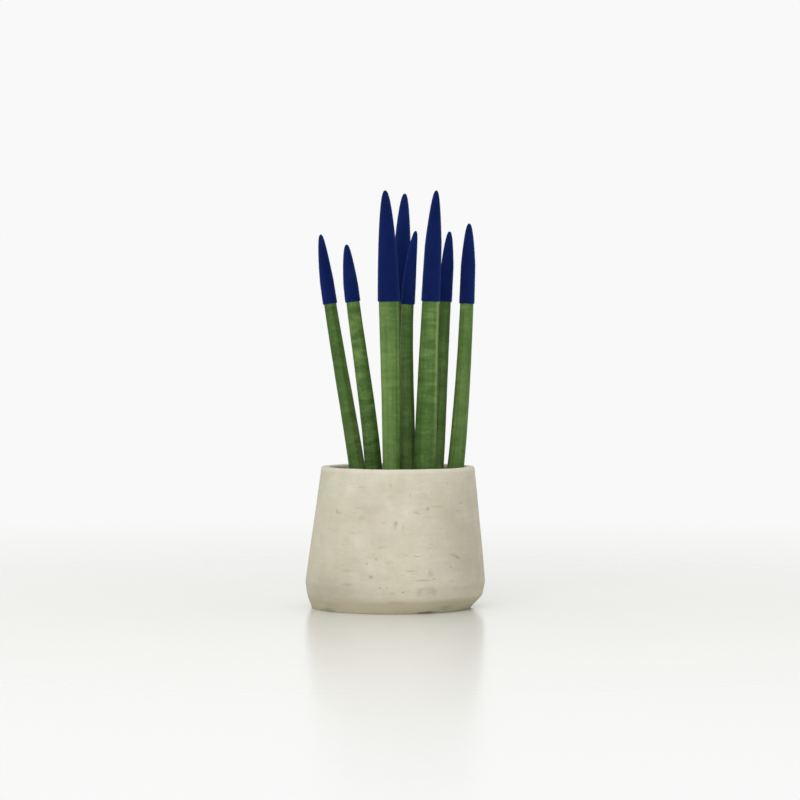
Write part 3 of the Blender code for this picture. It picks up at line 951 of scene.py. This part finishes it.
def coat_tree():
    """A thimble over the tip, from its inside round the lip to its outside, with a pile of fibres."""
    shape = new_shape_tree("velvet coat")
    leaf = {name: named_input(shape, name, kind) for name, kind in LEAF_SIZES.items()}
    thickness = named_input(shape, "Coat thickness", "Float")
    fibres_per_metre = named_input(shape, "Fibres per square metre", "Float")
    fibre_length = named_input(shape, "Fibre length", "Float")
    fibre_radius = named_input(shape, "Fibre radius", "Float")
    seed = named_input(shape, "Seed", "Int")
    material = named_input(shape, "Material", "Material")
    sheet, angle, share = sheet_of_points(shape, COAT_SIDES, COAT_RINGS)
    side = share * 2 - 1
    round_lip = (side / LIP_SHARE).math("MAXIMUM", -1.0).math("MINIMUM", 1.0) * (math.pi / 2)
    past_lip = ((side.math("ABSOLUTE") - LIP_SHARE) / (1 - LIP_SHARE)).math("MAXIMUM", 0.0)
    foot = shape.part_of(leaf["Foot"], "Z")
    tip = shape.part_of(leaf["Tip"], "Z")
    wavy = shape.noise(unrolled(shape, leaf, angle, 0.0), EDGE_WAVES, 2.0) - 0.5
    start = (leaf["Coat edge"] + thickness / 2 + wavy * EDGE_UNEVENNESS - foot) / (tip - foot)
    part = start + (1 - start) * (past_lip * (math.pi / 2)).math("SINE")
    proud = COAT_GAP + thickness * (0.5 + 0.5 * round_lip.math("SINE"))
    drop = thickness * -0.5 * round_lip.math("COSINE")
    furrow = furrow_at(shape, leaf, angle) * (FURROW_DEPTH * COAT_FURROWS)
    place = on_leaf(shape, leaf, part.math("MINIMUM", 1.0), angle, furrow, proud, drop)
    sheet = remember(shape, sheet, "outside", side > 0.0)
    # Painted light: how much this coat's colour is scaled, lighter where the leaves beside it shade it
    sheet = remember(shape, sheet, "dye", leaf["Coat light"])
    coat = rolled_up(shape, sheet, place)
    points = strewn(shape, coat, fibres_per_metre, seed, remembered(shape, "outside") > 0.9)
    cone = {"Vertices": 3, "Radius Top": 0.0, "Radius Bottom": 1.0, "Depth": 1.0}
    fibre = shape.node("GeometryNodeMeshCone", {}, cone)
    turns = {"Rotation": points.out("Rotation"), "Rotate By": drawn(shape, *FIBRE_TURNS, seed + 1)}
    turn = shape.node("FunctionNodeRotateRotation", {"rotation_space": "LOCAL"}, turns)
    length = fibre_length * drawn(shape, *FIBRE_LENGTHS, seed + 2)
    scale = shape.point(fibre_radius, fibre_radius, length)
    close_tree(shape, joined(shape, coat, pieces_on(shape, points, fibre, turn, scale)), material)
    return shape


def velvet_finish():
    material, paint = new_finish("navy velvet")
    place = paint.node("ShaderNodeTexCoord", output="Object")
    nap = paint.noise(paint.stretched(place, 130, 130, 60), 1, 3, 0.6, 0.6)
    pile = paint.noise(place, 2600, 2, 0.7)
    shade = (nap - 0.5) * 0.7 + (pile - 0.5) * 0.7 + 0.5
    colour = paint.mix(paint.between(shade, 0.1, 0.9), tint(9, 20, 64), tint(15, 31, 82))
    # Painted light: each coat's colour is scaled, lighter where other leaves shade it, darker where most
    # lit
    colour = paint.scaled(colour, paint.kept("dye"))
    values = {"Base Color": colour, "Roughness": 0.92, "Specular IOR Level": 0.03}
    values.update({"Sheen Weight": 0.4, "Sheen Roughness": 0.5, "Sheen Tint": tint(88, 122, 215)})
    values["Normal"] = paint.bump(pile * 0.6 + nap * 0.4, 0.0003, 0.6)
    paint.surface(values)
    return material


grow_coat = coat_tree()
velvet = velvet_finish()
for number, leaf in enumerate(LEAVES, start=1):
    name = f"velvet_coat_{number}"
    coat_sizes = {**leaf_sizes(leaf, number), "Coat thickness": COAT_THICKNESS}
    coat_sizes.update({"Fibres per square metre": FIBRES_PER_METRE})
    coat_sizes.update({"Fibre length": FIBRE_LENGTH, "Fibre radius": FIBRE_RADIUS})
    coat_sizes.update({"Seed": PILE_SEED + 10 * number, "Material": velvet})
    coat = placed(name, grown_mesh(name, grow_coat, coat_sizes))
    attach(coat, "root")
    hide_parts(f"velvet_{number}")


# The studio: a plain pale floor that fades into a near-white surround, one big soft light high in front
# and a little to the left, and the camera at the front, a little above the pot.
STAGE_RADIUS = 1.6
STAGE_SIDES = 64
# The distances from the middle at which the floor has faded out and is whole
STAGE_FADE = (1.3, 0.05)
SURROUND_COLOUR = tint(248, 249, 248)
LIGHT_SIZE = 1.5
LIGHT_ENERGY = 24.0
LIGHT_PLACE = (-0.5, -2.0, 1.3)
LIGHT_AIM = (0.0, 0.0, 0.15)
CAMERA_PLACE = (0.0040, -2.7, 0.241)
CAMERA_TILT = math.radians(90 - 1.443)
CAMERA_LENS = 145.8
CAMERA_SENSOR = 36.0


def floor_finish():
    material, paint = new_finish("pale floor")
    place = paint.node("ShaderNodeTexCoord", output="Object")
    away = paint.vector("LENGTH", place, output="Value")
    mottle = paint.noise(place, 6, 3, 0.5)
    colour = paint.mix(mottle, tint(217, 215, 211), tint(221, 219, 215))
    paint.surface({"Base Color": colour, "Roughness": 0.2, "Alpha": paint.between(away, *STAGE_FADE)})
    return material


stage_rim = []
for side in range(STAGE_SIDES):
    turn = 2 * math.pi * side / STAGE_SIDES
    stage_rim.append((STAGE_RADIUS * math.cos(turn), STAGE_RADIUS * math.sin(turn), 0.0))
ground = bpy.data.meshes.new("pale_floor")
ground.from_pydata(stage_rim, [], [tuple(range(STAGE_SIDES))])
pale_floor = placed("pale_floor", ground)
pale_floor.data.materials.append(floor_finish())
pale_floor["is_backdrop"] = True

surround = bpy.data.worlds.new("studio")
surround.use_nodes = True
surround.node_tree.nodes["Background"].inputs["Color"].default_value = SURROUND_COLOUR
surround.node_tree.nodes["Background"].inputs["Strength"].default_value = 1.0
bpy.context.scene.world = surround

lamp = bpy.data.lights.new("soft light", "AREA")
lamp.shape = "SQUARE"
lamp.size = LIGHT_SIZE
lamp.energy = LIGHT_ENERGY
light = placed("soft light", lamp)
light.location = LIGHT_PLACE
light.rotation_euler = (Vector(LIGHT_AIM) - light.location).to_track_quat("-Z", "Y").to_euler()

camera = placed("camera", bpy.data.cameras.new("camera"))
camera.data.lens = CAMERA_LENS
camera.data.sensor_width = CAMERA_SENSOR
camera.location = CAMERA_PLACE
camera.rotation_euler = (CAMERA_TILT, 0.0, 0.0)
bpy.context.scene.camera = camera
bpy.context.scene.view_settings.view_transform = "Standard"

low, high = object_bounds()
sizes = {"cad_box": [list(corner) for corner in cad_box], "visual_box": [list(low), list(high)]}
